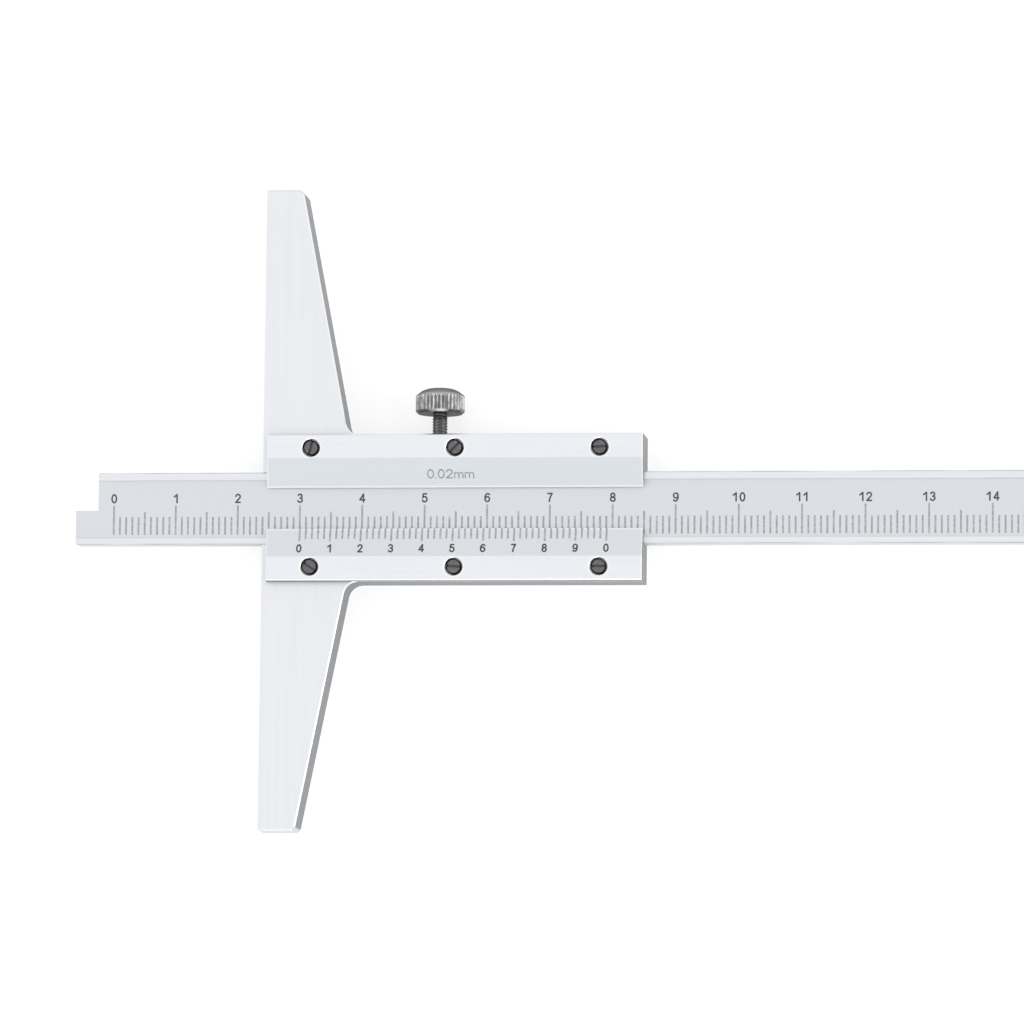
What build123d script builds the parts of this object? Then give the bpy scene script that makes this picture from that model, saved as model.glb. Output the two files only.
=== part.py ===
from build123d import *
import os

# Vernier depth gauge, lying on its back with its scale upwards. All lengths are millimetres.
# +X runs along the beam, away from its measuring tip. +Y runs across the beam, towards the lock screw.
# X = 0 is the measuring face, Y = 0 the middle of the beam, and Z = 0 the back of the base.

os.makedirs("parts", exist_ok=True)

# Measuring base: two tapered arms and the slider body, one hardened piece
base_span = 102.6  # end to end of the two arms
base_thickness = 6.6
arm_end_width = 5.85
arm_root_width = 13.6  # where an arm's back edge would meet the slider body
body_length = 60.9
body_width = 23.4
root_fillet = 2.4
arm_corner_radius = 0.9
base_edge_break = 0.2

# Beam: a steel blade with a stepped measuring tip and a sunk scale face between two rails
beam_width = 11.5
beam_thickness = 3.0
beam_length = 225.0
reading_at_rest = 30.15  # the depth set on the gauge, so how far the tip stands out
nose_length = 3.6
nose_width = 5.5
nose_corner_radius = 0.45
shoulder_fillet = 0.8
beam_corner_radius = 0.3
scale_face_depth = 0.25
upper_rail_width = 1.2
lower_rail_width = 1.0
beam_edge_break = 0.15

# Running clearances of the beam in its channel
side_clearance = 0.03
thickness_clearance = 0.05

# Retaining plates: the plain upper plate and the vernier plate below the window
plate_thickness = 1.7
plate_setback = 0.8  # from the measuring face, so that only the base touches the work
window_top = 3.25  # from the beam's middle to the upper plate's thin edge
window_foot = 3.3  # from the beam's middle to the vernier plate's thin edge
bevel_land = 0.15  # of flat face left between a bevel and the counterbores
thin_edge = 0.3
plate_edge_break = 0.18

# Plate screws: slotted cheese heads, sunk in counterbores
first_screw_x = 7.9  # from the measuring face
last_screw_inset = 6.9  # from the slider body's plain end
screw_offset = 9.5  # from the beam's middle to each row of screws
thread_radius = 0.8
thread_clearance = 0.02
plate_hole_clearance = 0.1
screw_reach = 3.6  # of the thread in the base
hole_spare_depth = 0.4
head_radius = 1.24
head_height = 1.0
head_gap = 0.16
head_sink = 0.05  # of the head's top under the plate's face
head_bevel = 0.15
counterbore_edge_break = 0.1
slot_width = 0.4
slot_depth = 0.45
upper_slot_angles = (75, 47, 2)
lower_slot_angles = (-35, -5, 0)

# Lock screw, with the swivel pad at its end and the leaf spring that it presses on the beam
lock_lead = 2.85  # of its axis ahead of the middle plate screws, towards the measuring face
lock_drop = 0.3  # of its axis under the beam's middle
lock_thread_radius = 1.25
lock_thread_clearance = 0.04
pad_radius = 1.0
pad_clearance = 0.04
pad_guide_length = 1.4
pad_height = 2.2
pad_slack = 0.15  # between the pad and the spring, with the lock screw a quarter turn loose
spigot_radius = 0.5
spigot_length = 0.7
spigot_clearance = 0.03
knob_radius = 3.9
knob_gap = 3.55  # between the slider body and the knob's underside
knob_height = 4.1
knob_crown_height = 1.3
knob_crown_radius = 1.6  # of the flatter middle of the crown
knob_crown_drop = 0.12
knob_foot_bevel = 0.5
knurl_count = 38
knurl_depth = 0.22
knurl_width = 0.46
knurl_overcut = 0.1

spring_thickness = 0.3
spring_length = 46.0
spring_flat_length = 12.0
spring_rise = 0.62  # of its ends, which bear on the roof of the pocket
spring_width = 2.8
spring_clearance = 0.02
spring_end_gap = 1.0

# Places that follow from the sizes above
body_edge = body_width / 2
arm_tip = base_span / 2
tip_x = -reading_at_rest
beam_edge = beam_width / 2
beam_back = base_thickness - thickness_clearance - beam_thickness
channel_floor = beam_back - thickness_clearance
channel_edge = beam_edge + side_clearance
head_top = base_thickness + plate_thickness
screw_seat = head_top - head_sink - head_height
counterbore_radius = head_radius + head_gap
bevel_edge = screw_offset - counterbore_radius - counterbore_edge_break - bevel_land
beam_middle = beam_back + beam_thickness / 2
lock_z = beam_middle - lock_drop
spring_face = beam_edge + spring_clearance
pocket_roof = spring_face + spring_thickness + spring_rise + spring_clearance
pocket_length = spring_length + 2 * spring_end_gap
pad_end = spring_face + spring_thickness + pad_slack
thread_end = pad_end + pad_height + spring_clearance
thread_mouth = pocket_roof + pad_guide_length
knob_underside = body_edge + knob_gap
knob_top = knob_underside + knob_height
knurl_top = knob_top - knob_crown_height
screw_spacing = (body_length - first_screw_x - last_screw_inset) / 2
screw_xs = [first_screw_x + i * screw_spacing for i in range(3)]
lock_x = screw_xs[1] - lock_lead
lock_axis = Axis((lock_x, 0, lock_z), (0, 1, 0))


# The base: arms, slider body, beam channel, spring pocket, lock screw hole and six tapped holes
with BuildPart() as base_frame:
    with BuildSketch() as base_outline:
        with BuildLine():
            Polyline(
                (0, -arm_tip),
                (arm_end_width, -arm_tip),
                (arm_root_width, -body_edge),
                (body_length, -body_edge),
                (body_length, body_edge),
                (arm_root_width, body_edge),
                (arm_end_width, arm_tip),
                (0, arm_tip),
                close=True,
            )
        make_face()
        fillet(base_outline.vertices().group_by(Axis.X)[2], root_fillet)
        fillet(base_outline.vertices().group_by(Axis.X)[1], arm_corner_radius)
    extrude(amount=base_thickness)
    outer_edges = base_frame.edges().group_by(Axis.Z)[-1] + base_frame.edges().group_by(Axis.Z)[0]
    measuring_edges = outer_edges.group_by(Axis.X)[0]
    chamfer([edge for edge in outer_edges if edge not in measuring_edges], base_edge_break)

    with BuildSketch(Plane.XY.offset(base_thickness)):
        with Locations((body_length / 2, 0)):
            Rectangle(body_length, 2 * channel_edge)
        with Locations((lock_x, channel_edge)):
            Rectangle(pocket_length, pocket_roof - channel_edge, align=(Align.CENTER, Align.MIN))
    extrude(amount=channel_floor - base_thickness, mode=Mode.SUBTRACT)

    with BuildSketch(Plane.XZ.offset(-body_edge)):
        with Locations((lock_x, lock_z)):
            Circle(lock_thread_radius + lock_thread_clearance)
    extrude(amount=body_edge - thread_mouth, mode=Mode.SUBTRACT)
    with BuildSketch(Plane.XZ.offset(-thread_mouth)):
        with Locations((lock_x, lock_z)):
            Circle(pad_radius + pad_clearance)
    extrude(amount=thread_mouth - pocket_roof, mode=Mode.SUBTRACT)

    with BuildSketch(Plane.XY.offset(base_thickness)):
        with Locations(*[(x, side * screw_offset) for x in screw_xs for side in (-1, 1)]):
            Circle(thread_radius + thread_clearance)
    extrude(amount=-(screw_reach + hole_spare_depth), mode=Mode.SUBTRACT)
base_frame.part.label = "base_frame"
export_step(base_frame.part, "parts/base_frame.step")


# The two retaining plates, alike but for the reach of their bevels
for plate_name, side, window_edge in (("upper_plate", 1, window_top), ("vernier_plate", -1, window_foot)):
    with BuildPart() as plate:
        with BuildSketch(Plane.YZ.offset(plate_setback)):
            with BuildLine():
                Polyline(
                    (side * window_edge, base_thickness),
                    (side * window_edge, base_thickness + thin_edge),
                    (side * bevel_edge, head_top),
                    (side * body_edge, head_top),
                    (side * body_edge, base_thickness),
                    close=True,
                )
            make_face()
        extrude(amount=body_length - plate_setback)
        rim = plate.faces().sort_by(Axis.Z)[-1].edges()
        chamfer(rim.sort_by(Axis((0, 0, 0), (0, side, 0)))[1:], plate_edge_break)
        with Locations(*[(x, side * screw_offset, head_top) for x in screw_xs]):
            CounterBoreHole(
                radius=thread_radius + plate_hole_clearance,
                counter_bore_radius=counterbore_radius,
                counter_bore_depth=head_top - screw_seat,
                depth=plate_thickness,
            )
        counterbore_rims = plate.edges().filter_by(GeomType.CIRCLE).group_by(Axis.Z)[-1]
        chamfer(counterbore_rims, counterbore_edge_break)
    plate.part.label = plate_name
    export_step(plate.part, f"parts/{plate_name}.step")


# Six slotted screws, each turned to where it was left when it was tightened
screw_rows = (("upper_plate", 1, upper_slot_angles), ("vernier_plate", -1, lower_slot_angles))
for plate_name, side, slot_angles in screw_rows:
    for place, x, slot_angle in zip(("left", "middle", "right"), screw_xs, slot_angles):
        with BuildPart(Plane((x, side * screw_offset, screw_seat))) as screw:
            Cylinder(head_radius, head_height, align=(Align.CENTER, Align.CENTER, Align.MIN))
            chamfer(screw.edges().group_by(Axis.Z)[-1], head_bevel)
            Cylinder(
                thread_radius,
                screw_seat - base_thickness + screw_reach,
                align=(Align.CENTER, Align.CENTER, Align.MAX),
            )
            with Locations(Location((0, 0, head_height), (0, 0, slot_angle))):
                Box(
                    2 * counterbore_radius,
                    slot_width,
                    slot_depth,
                    align=(Align.CENTER, Align.CENTER, Align.MAX),
                    mode=Mode.SUBTRACT,
                )
        screw.part.label = f"{plate_name}_screw_{place}"
        export_step(screw.part, f"parts/{screw.part.label}.step")


# The beam, with its stepped nose and the sunk face that carries the graduations
with BuildPart() as beam:
    with BuildSketch(Plane.XY.offset(beam_back)) as beam_outline:
        with BuildLine():
            Polyline(
                (tip_x, -beam_edge),
                (tip_x + beam_length, -beam_edge),
                (tip_x + beam_length, beam_edge),
                (tip_x + nose_length, beam_edge),
                (tip_x + nose_length, nose_width - beam_edge),
                (tip_x, nose_width - beam_edge),
                close=True,
            )
        make_face()
        shoulder = beam_outline.vertices().group_by(Axis.X)[1].sort_by(Axis.Y)
        fillet(shoulder[-1], beam_corner_radius)
        fillet(shoulder[0], shoulder_fillet)
        fillet(beam_outline.vertices().group_by(Axis.X)[0].sort_by(Axis.Y)[0], nose_corner_radius)
        fillet(beam_outline.vertices().group_by(Axis.X)[-1], nose_corner_radius)
    extrude(amount=beam_thickness)
    chamfer(beam.edges().group_by(Axis.Z)[0], beam_edge_break)
    with BuildSketch(Plane.XY.offset(beam_back + beam_thickness)):
        with Locations((tip_x, lower_rail_width - beam_edge)):
            Rectangle(
                beam_length,
                beam_width - lower_rail_width - upper_rail_width,
                align=(Align.MIN, Align.MIN),
            )
    extrude(amount=-scale_face_depth, mode=Mode.SUBTRACT)
beam.part.label = "beam"
export_step(beam.part, "parts/beam.step")


# The leaf spring: flat in the middle, where it lies on the beam, with two ends that bow up to the roof
bow_run = (spring_length - spring_flat_length) / 2
bow_radius = (bow_run**2 + spring_rise**2) / (2 * spring_rise)
with BuildPart() as leaf_spring:
    with BuildSketch(Plane.XY.offset(beam_middle - spring_width / 2)):
        with BuildLine():
            flat_start = (lock_x - spring_flat_length / 2, spring_face)
            flat_end = (lock_x + spring_flat_length / 2, spring_face)
            right_end = (lock_x + spring_length / 2, spring_face + spring_rise)
            left_end = (lock_x - spring_length / 2, spring_face + spring_rise)
            under_flat = Line(flat_start, flat_end)
            under_right = TangentArc(flat_end, right_end, tangent=(1, 0))
            under_left = TangentArc(flat_start, left_end, tangent=(-1, 0))
            top_start = (flat_start[0], spring_face + spring_thickness)
            top_end = (flat_end[0], spring_face + spring_thickness)
            top_right = (right_end[0], right_end[1] + spring_thickness)
            top_left = (left_end[0], left_end[1] + spring_thickness)
            Line(right_end, top_right)
            TangentArc(top_end, top_right, tangent=(1, 0))
            Line(top_start, top_end)
            TangentArc(top_start, top_left, tangent=(-1, 0))
            Line(left_end, top_left)
        make_face()
    extrude(amount=spring_width)
leaf_spring.part.label = "leaf_spring"
export_step(leaf_spring.part, "parts/leaf_spring.step")


# The brass pad that swivels on the end of the lock screw
with BuildPart(Plane.XZ.offset(-pad_end)) as lock_pad:
    with Locations((lock_x, lock_z, 0)):
        Cylinder(pad_radius, pad_height, align=(Align.CENTER, Align.CENTER, Align.MAX))
    with Locations((lock_x, lock_z, -pad_height)):
        Cylinder(
            spigot_radius + spigot_clearance,
            spigot_length + spigot_clearance,
            align=(Align.CENTER, Align.CENTER, Align.MIN),
            mode=Mode.SUBTRACT,
        )
lock_pad.part.label = "lock_pad"
export_step(lock_pad.part, "parts/lock_pad.step")


# The lock screw: spigot, threaded stem and knurled knob with a crowned top, one turned piece
with BuildPart() as lock_screw:
    with BuildSketch(Plane.XY.offset(lock_z)):
        with BuildLine():
            crown_foot = (lock_x + knob_radius, knurl_top)
            crown_shoulder = (lock_x + knob_crown_radius, knob_top - knob_crown_drop)
            crown_centre = (lock_x, knob_top)
            Polyline(
                crown_centre,
                (lock_x, thread_end - spigot_length),
                (lock_x + spigot_radius, thread_end - spigot_length),
                (lock_x + spigot_radius, thread_end),
                (lock_x + lock_thread_radius, thread_end),
                (lock_x + lock_thread_radius, knob_underside),
                (lock_x + knob_radius - knob_foot_bevel, knob_underside),
                (lock_x + knob_radius, knob_underside + knob_foot_bevel),
                crown_foot,
            )
            crown_middle = TangentArc(crown_centre, crown_shoulder, tangent=(1, 0))
            TangentArc(crown_shoulder, crown_foot, tangent=crown_middle % 1)
        make_face()
    revolve(axis=lock_axis)
    with BuildSketch(Plane.XZ.offset(-knob_underside)):
        with Locations((lock_x, lock_z)):
            with PolarLocations(knob_radius, knurl_count):
                Polygon(
                    (-knurl_depth, 0),
                    (knurl_overcut, -knurl_width / 2),
                    (knurl_overcut, knurl_width / 2),
                    align=None,
                )
    extrude(amount=-(knurl_top - knob_underside), mode=Mode.SUBTRACT)
lock_screw.part.label = "lock_screw"
export_step(lock_screw.part, "parts/lock_screw.step")
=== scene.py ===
"""Looks of a vernier depth gauge: finishes, graduations, numerals, the knurled lock screw and a plain studio.

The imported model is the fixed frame. Lengths are metres, in its own frame: +X along the beam, away from its
measuring tip, +Y across the beam towards the lock screw, and +Z out of the face that carries the scale.
"""

import math

import bpy
import numpy as np
from bpy.props import FloatProperty, FloatVectorProperty, IntProperty, PointerProperty, StringProperty
from bpy.types import Operator, Panel, PropertyGroup
from mathutils import Matrix, Vector
from mathutils.bvhtree import BVHTree


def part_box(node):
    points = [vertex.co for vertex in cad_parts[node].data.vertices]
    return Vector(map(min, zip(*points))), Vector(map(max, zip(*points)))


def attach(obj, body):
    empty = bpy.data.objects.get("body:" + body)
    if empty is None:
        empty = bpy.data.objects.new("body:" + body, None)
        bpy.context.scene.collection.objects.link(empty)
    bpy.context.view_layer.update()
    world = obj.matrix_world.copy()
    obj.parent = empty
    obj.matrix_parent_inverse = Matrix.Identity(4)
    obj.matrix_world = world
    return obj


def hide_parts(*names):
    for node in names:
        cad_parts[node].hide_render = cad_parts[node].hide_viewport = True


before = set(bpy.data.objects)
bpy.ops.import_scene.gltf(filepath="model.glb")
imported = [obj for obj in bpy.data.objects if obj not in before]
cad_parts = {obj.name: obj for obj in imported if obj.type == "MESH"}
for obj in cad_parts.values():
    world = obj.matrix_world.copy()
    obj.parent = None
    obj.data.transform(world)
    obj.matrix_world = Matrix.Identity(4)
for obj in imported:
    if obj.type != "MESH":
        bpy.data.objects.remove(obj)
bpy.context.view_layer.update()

bl_info = {
    "name": "Vernier Depth Gauge",
    "version": (1, 0, 0),
    "blender": (4, 5, 0),
    "location": "View3D > Sidebar > Depth Gauge",
    "description": "Finishes, graduations and lock screw of a vernier depth gauge",
    "category": "Object",
}

MM = 0.001

# Shares of a face's normal that point along Z, between which its look changes
SIDE_LEAN = (0.25, 0.6)
BROKEN_EDGE_LEAN = (0.5, 0.66, 0.76, 0.86)
BEVEL_LEAN = (0.88, 0.93, 0.97, 0.99)

# Distances in millimetres over which a mark of wear, a painted shade or a painted highlight comes or goes
LAPPED_END = (0.7, 0.4)  # from an arm's tip
BRIGHT_RIM = (0.4, 0.75)  # outside a screw's head, on the plate's face
BRIGHT_RIM_EDGE = (0.4, 0.6)  # outside a screw's head, on the broken edge
# where the counterbore walls are painted dark as shade:
BORE_WALL = (0.2, 0.3)  # outside a screw's head
# painted highlight on a plate's bevel, from its thin edge and from its ends:
HIGHLIGHT_LIP = (0.15, 0.4)  # from a plate's thin edge
HIGHLIGHT_END = (0.12, 0.3)  # from a plate's ends
THIN_EDGE = (0.2, 0.3)  # from a plate's thin edge, on its side
RAIL_DEPTH = (0.15, 0.08)  # below the rails' faces
RAIL_EDGE = (0.16, 0.1)  # from the beam's sides

KNURL_SIDE = (0.32, 0.5)  # inside the knurl's crests, as the next two
KNURL_HEIGHT = (0.03, 0.24)
# painted highlight on the crown's rim:
CROWN_HIGHLIGHT = (0.2, 0.35)
STEM_SIDE = (1.3, 1.4)  # from the lock screw's axis
# painted shadow of the knob on the stem:
STEM_SHADOW = (0.4, 1.4)  # from the knob's underside
RUBBED_FACE = (0.96, 1.12)  # from a plate screw's axis
SLOT_END = (0.85, 1.05)  # from a plate screw's axis
FACE_DEPTH = (0.2, 0.1)  # below a screw's face
SLOT_DEPTH = (0.3, 0.15)  # below a screw's face

GRAIN_ALONG = 0.12  # features in a millimetre along the grinding marks
GRAIN_ACROSS = 9.0
BROAD_GRAIN = 6  # times as broad as the fine one
NOISE_SPREAD = (0.3, 0.7)  # the part of a noise's range that a tone spans
GRAIN_SPREAD = (0.35, 0.65)  # a narrower part, for more contrast
GRINDING_DEPTH = 0.0015 * MM
TURNING_DEPTH = 0.002 * MM
SHARP_ANGLE = math.radians(25)  # from here an edge stays sharp

# How finely the characters' strokes are divided
ARC_POINTS = 25
STROKE_POINTS = 33
CAP_POINTS = 5  # round each end of a stroke
CAP_TIP = 0.02  # of the cutter's radius: half a stroke's width at its very end
LAYER_RISE = 0.002 * MM  # between the crossing strokes of one character

PROBE_X = 20 * MM  # where the slope of a plate's bevel is measured
PROBE_NEAR = 0.5 * MM  # from the plate's thin edge
PROBE_FAR = 4 * MM
PROBE_BEAM = 1 * MM  # on each side of the beam's middle
EDGE_ROOM = 0.02 * MM  # between the vernier's lines and the plate's thin edge

# How finely the lock screw's surface is divided
COLUMNS_PER_RIDGE = 8
CROWN_ROWS = 25
BAND_ROWS = 19
BEVEL_ROWS = 5
NECK_ROWS = 4
ROWS_PER_PITCH = 6
KNURL_RUN_OUT = 0.16 * MM  # at each end of the knurl

FLOOR_DROP = 0.02 * MM  # below the gauge's back
LAMPS = (
    ("lamp_left", (-1.0, -0.15, 0.5), "side_radiance"),
    ("lamp_right", (1.0, -0.15, 0.5), "side_radiance"),
    ("lamp_front", (0.1, -1.0, 0.12), "front_radiance"),
)
TENT_RISE = (0.05, 0.75)  # of the way up, where the tent dims
SENSOR_WIDTH = 36.0  # in millimetres
CLIP = (0.01, 20.0)  # in metres

plate_low, plate_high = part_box("vernier_plate")
beam_low, beam_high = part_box("beam")
screw_low, screw_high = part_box("lock_screw")
first_screw_low, first_screw_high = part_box("vernier_plate_screw_left")
middle_screw_low, middle_screw_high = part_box("vernier_plate_screw_middle")
arm_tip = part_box("base_frame")[1].y


def length(name, description, default):
    """A property that holds a length in metres."""
    return FloatProperty(name=name, description=description, default=default, unit="LENGTH", precision=6)


def number(name, description, default):
    """A property that holds a plain number."""
    return FloatProperty(name=name, description=description, default=default, precision=3)


def degrees(name, description, default):
    """A property that holds an angle, given in degrees."""
    return FloatProperty(
        name=name, description=description, default=math.radians(default), unit="ROTATION", precision=4
    )


def colour(name, description, default):
    """A property that holds a linear colour."""
    return FloatVectorProperty(
        name=name, description=description, default=default, subtype="COLOR", size=3, min=0.0, max=1.0
    )


class GraduationSizes(PropertyGroup):
    """Lines and numerals of the main scale and of the vernier."""

    zero_inset: length("Zero inset", "From the measuring tip to the main scale's zero line", 6.15 * MM)
    main_count: IntProperty(name="Main divisions", description="Millimetres on the main scale", default=200)
    main_foot: length("Line foot", "Where every main line ends, across the beam", -4.15 * MM)
    centimetre_top: length("Centimetre top", "Where a centimetre line begins", 0.55 * MM)
    half_top: length("Half centimetre top", "Where a half centimetre line begins", -0.5 * MM)
    millimetre_top: length("Millimetre top", "Where a millimetre line begins", -1.3 * MM)
    numeral_foot: length("Numeral foot", "Where the main numerals stand", 0.9 * MM)
    numeral_height: length("Numeral height", "Height of a main numeral", 1.52 * MM)
    numeral_gap: length("Numeral gap", "Between two numerals of one number", 0.24 * MM)
    vernier_zero: length("Vernier zero", "From the measuring face to the vernier's zero line", 6.15 * MM)
    vernier_count: IntProperty(name="Vernier divisions", description="Divisions on the vernier", default=50)
    vernier_pitch: length("Vernier division", "Length of a vernier division", 0.98 * MM)
    vernier_short: length("Short vernier line", "Where a short vernier line ends", -5.0 * MM)
    vernier_long: length("Long vernier line", "Where a numbered vernier line ends", -5.4 * MM)
    vernier_numeral_top: length("Vernier numeral top", "Where the vernier numerals begin", -5.85 * MM)
    vernier_numeral_height: length("Vernier numeral height", "Height of a vernier numeral", 1.4 * MM)
    cutter_radius: length("Cutter radius", "Half the width of a numeral's stroke", 0.128 * MM)
    line_width: length("Line width", "Width of an engraved line", 0.3 * MM)
    line_rise: length("Line rise", "Of the paint in a line above the steel", 0.008 * MM)
    line_sink: length("Line sink", "Of the paint in a line below the steel", 0.03 * MM)
    resolution_text: StringProperty(
        name="Resolution mark", description="What one vernier division reads", default="0.02mm"
    )
    resolution_height: length("Resolution height", "Height of the resolution mark", 1.45 * MM)
    resolution_gap: length("Resolution gap", "Between its characters", 0.17 * MM)
    resolution_radius: length("Resolution cutter", "Half the width of its strokes", 0.098 * MM)
    resolution_stretch: number("Resolution stretch", "Of its characters, which are wide", 1.33)
    resolution_middle_x: length("Resolution place", "Middle of the mark along the beam", 30.25 * MM)
    resolution_foot: length("Resolution foot", "Where the resolution mark stands", 4.61 * MM)


class LockScrewSizes(PropertyGroup):
    """The knurled lock screw, measured from the axis and from the knob's underside."""

    gap: length("Knob gap", "Between the slider body and the knob's underside", 3.55 * MM)
    crown_height: length("Crown height", "Of the domed end above the knurl", 1.3 * MM)
    crown_power: number("Crown power", "Above 2 for a flat-topped dome", 3.4)
    foot_bevel: length("Foot bevel", "At the knob's lower edge", 0.38 * MM)
    knurl_count: IntProperty(name="Knurl ridges", description="Ridges round the knob", default=38)
    knurl_depth: length("Knurl depth", "From a ridge's crest to its root", 0.2 * MM)
    crest_share: number("Crest share", "Of the knurl's pitch, left uncut", 0.32)
    root_share: number("Root share", "Of the knurl's pitch, at full depth", 0.2)
    thread_radius: length("Thread radius", "At the crests", 1.24 * MM)
    root_radius: length("Root radius", "At the thread's roots", 1.02 * MM)
    neck_radius: length("Neck radius", "Of the plain neck under the knob", 1.03 * MM)
    neck_length: length("Neck length", "Of the plain neck under the knob", 0.15 * MM)
    pitch: length("Pitch", "Of the thread", 0.45 * MM)
    spigot_radius: length("Spigot radius", "Of the end that turns in the pad", 0.5 * MM)
    spigot_length: length("Spigot length", "Of the end that turns in the pad", 0.7 * MM)


class FinishColours(PropertyGroup):
    """Colours of the steels and of the paint."""

    base: colour("Base", "Ground face of the measuring base", (0.905, 0.923, 0.958))
    plate: colour("Plates", "Ground face of the plates", (0.915, 0.938, 0.973))
    # Painted shade: the same matt finish as the vernier bevel, made darker here
    bevel: colour("Upper bevel", "Matt bevel above the window", (0.745, 0.78, 0.81))
    vernier_bevel: colour("Vernier bevel", "Matt bevel below the window", (0.79, 0.82, 0.855))
    scale: colour("Scale face", "Matt face under the graduations", (0.77, 0.795, 0.825))
    rail: colour("Rails", "Ground edges of the beam", (0.885, 0.905, 0.93))
    # A darker line along the rails' outer edges, in patches
    rail_edge: colour("Rail edges", "Burnished outer edges of the rails", (0.5, 0.51, 0.53))
    # Painted shade: sides darker than the faces above them
    side: colour("Sides", "Coarsely ground side faces", (0.29, 0.3, 0.31))
    # Painted shade: the plates' sides and ends, darker still than the base's sides
    plate_side: colour("Plate sides", "Coarsely ground and stained", (0.12, 0.123, 0.126))
    beam_side: colour("Beam sides", "Finely ground sides of the beam", (0.67, 0.68, 0.69))
    arm_end: colour("Arm ends", "Lapped ends of the arms", (0.66, 0.67, 0.68))
    edge: colour("Base edges", "Broken edges of the base, rubbed bright", (0.85, 0.86, 0.87))
    plate_edge: colour("Plate edges", "Broken edges of the plates", (0.75, 0.76, 0.77))
    rim: colour("Counterbore rims", "Freshly countersunk", (0.97, 0.97, 0.98))
    # Painted shade in the counterbores
    bore: colour("Counterbore walls", "Dull, with old oil", (0.03, 0.03, 0.032))
    screw: colour("Screw faces", "Blackened steel, rubbed on its face", (0.17, 0.17, 0.18))
    screw_slot: colour("Screw slots", "Inside a slot, where the driver has rubbed", (0.13, 0.13, 0.135))
    screw_black: colour("Screw sides", "Blackened steel", (0.012, 0.012, 0.014))
    knob: colour("Knob crown", "Turned steel, stained", (0.25, 0.25, 0.255))
    knob_crest: colour("Knurl crests", "Rubbed bright by the fingers", (0.43, 0.43, 0.435))
    knob_root: colour("Knurl roots", "Dull steel and old oil", (0.2, 0.2, 0.205))
    # Painted shade on the knob's underside and on the stem just under it
    knob_foot: colour("Knob underside", "Dull as it was turned", (0.15, 0.15, 0.155))
    stem: colour("Stem", "Oiled thread and neck", (0.36, 0.36, 0.365))
    spring: colour("Leaf spring", "Blued spring steel", (0.2, 0.22, 0.3))
    pad: colour("Lock pad", "Turned brass", (0.72, 0.5, 0.22))
    line: colour("Paint", "In the engraved lines", (0.31, 0.32, 0.355))
    numeral: colour("Numeral paint", "In the engraved numerals", (0.055, 0.057, 0.063))
    resolution: colour("Resolution mark", "Etched, without paint", (0.24, 0.25, 0.27))


class StudioSettings(PropertyGroup):
    """Floor, light and camera."""

    floor_size: length("Floor size", "Side of the square floor", 8.0)
    floor_colour: colour("Floor", "Matt floor", (0.42, 0.42, 0.42))
    floor_glow: number("Floor glow", "Added for what the camera and the metal see of it", 0.7)
    zenith: number("Zenith", "Brightness straight overhead", 0.9)
    horizon: number("Horizon", "Mean brightness at the horizon", 1.0)
    horizon_swing: number("Horizon swing", "More of it at the bright side, less at the other", 0.22)
    bright_side: degrees("Bright side", "Angle from +X of the bright side", -45)
    lamp_size: length("Lamp size", "Side of each square lamp", 0.7)
    lamp_distance: length("Lamp distance", "Of each lamp from the gauge", 1.6)
    side_radiance: number("Side lamps", "Brightness of their faces", 3.2)
    front_radiance: number("Front lamp", "Brightness of its face", 1.3)
    camera_place: FloatVectorProperty(
        name="Camera place", description="Where it stands", default=(0.15883, -0.11722, 1.0), subtype="XYZ"
    )
    camera_lean_y: degrees("Lean about Y", "Of the camera", 6.821)
    camera_lean_x: degrees("Lean about X", "Of the camera", 6.644)
    camera_roll: degrees("Roll", "Of the camera", 0.629)
    lens: number("Lens", "Focal length in millimetres", 223.59)


class Value:
    """A number or vector that a shader works out. Arithmetic on it adds Math nodes to its finish."""

    def __init__(self, finish, socket):
        self.finish = finish
        self.socket = socket

    def math(self, operation, *others):
        """The result of a Math node whose first input is this value."""
        return self.finish.math(operation, self, *others)

    def __add__(self, other):
        return self.math("ADD", other)

    __radd__ = __add__

    def __sub__(self, other):
        return self.math("SUBTRACT", other)

    def __rsub__(self, other):
        return self.finish.math("SUBTRACT", other, self)

    def __mul__(self, other):
        return self.math("MULTIPLY", other)

    __rmul__ = __mul__

    def __truediv__(self, other):
        return self.math("DIVIDE", other)

    def __pow__(self, other):
        return self.math("POWER", other)

    def __abs__(self):
        return self.math("ABSOLUTE")


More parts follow.
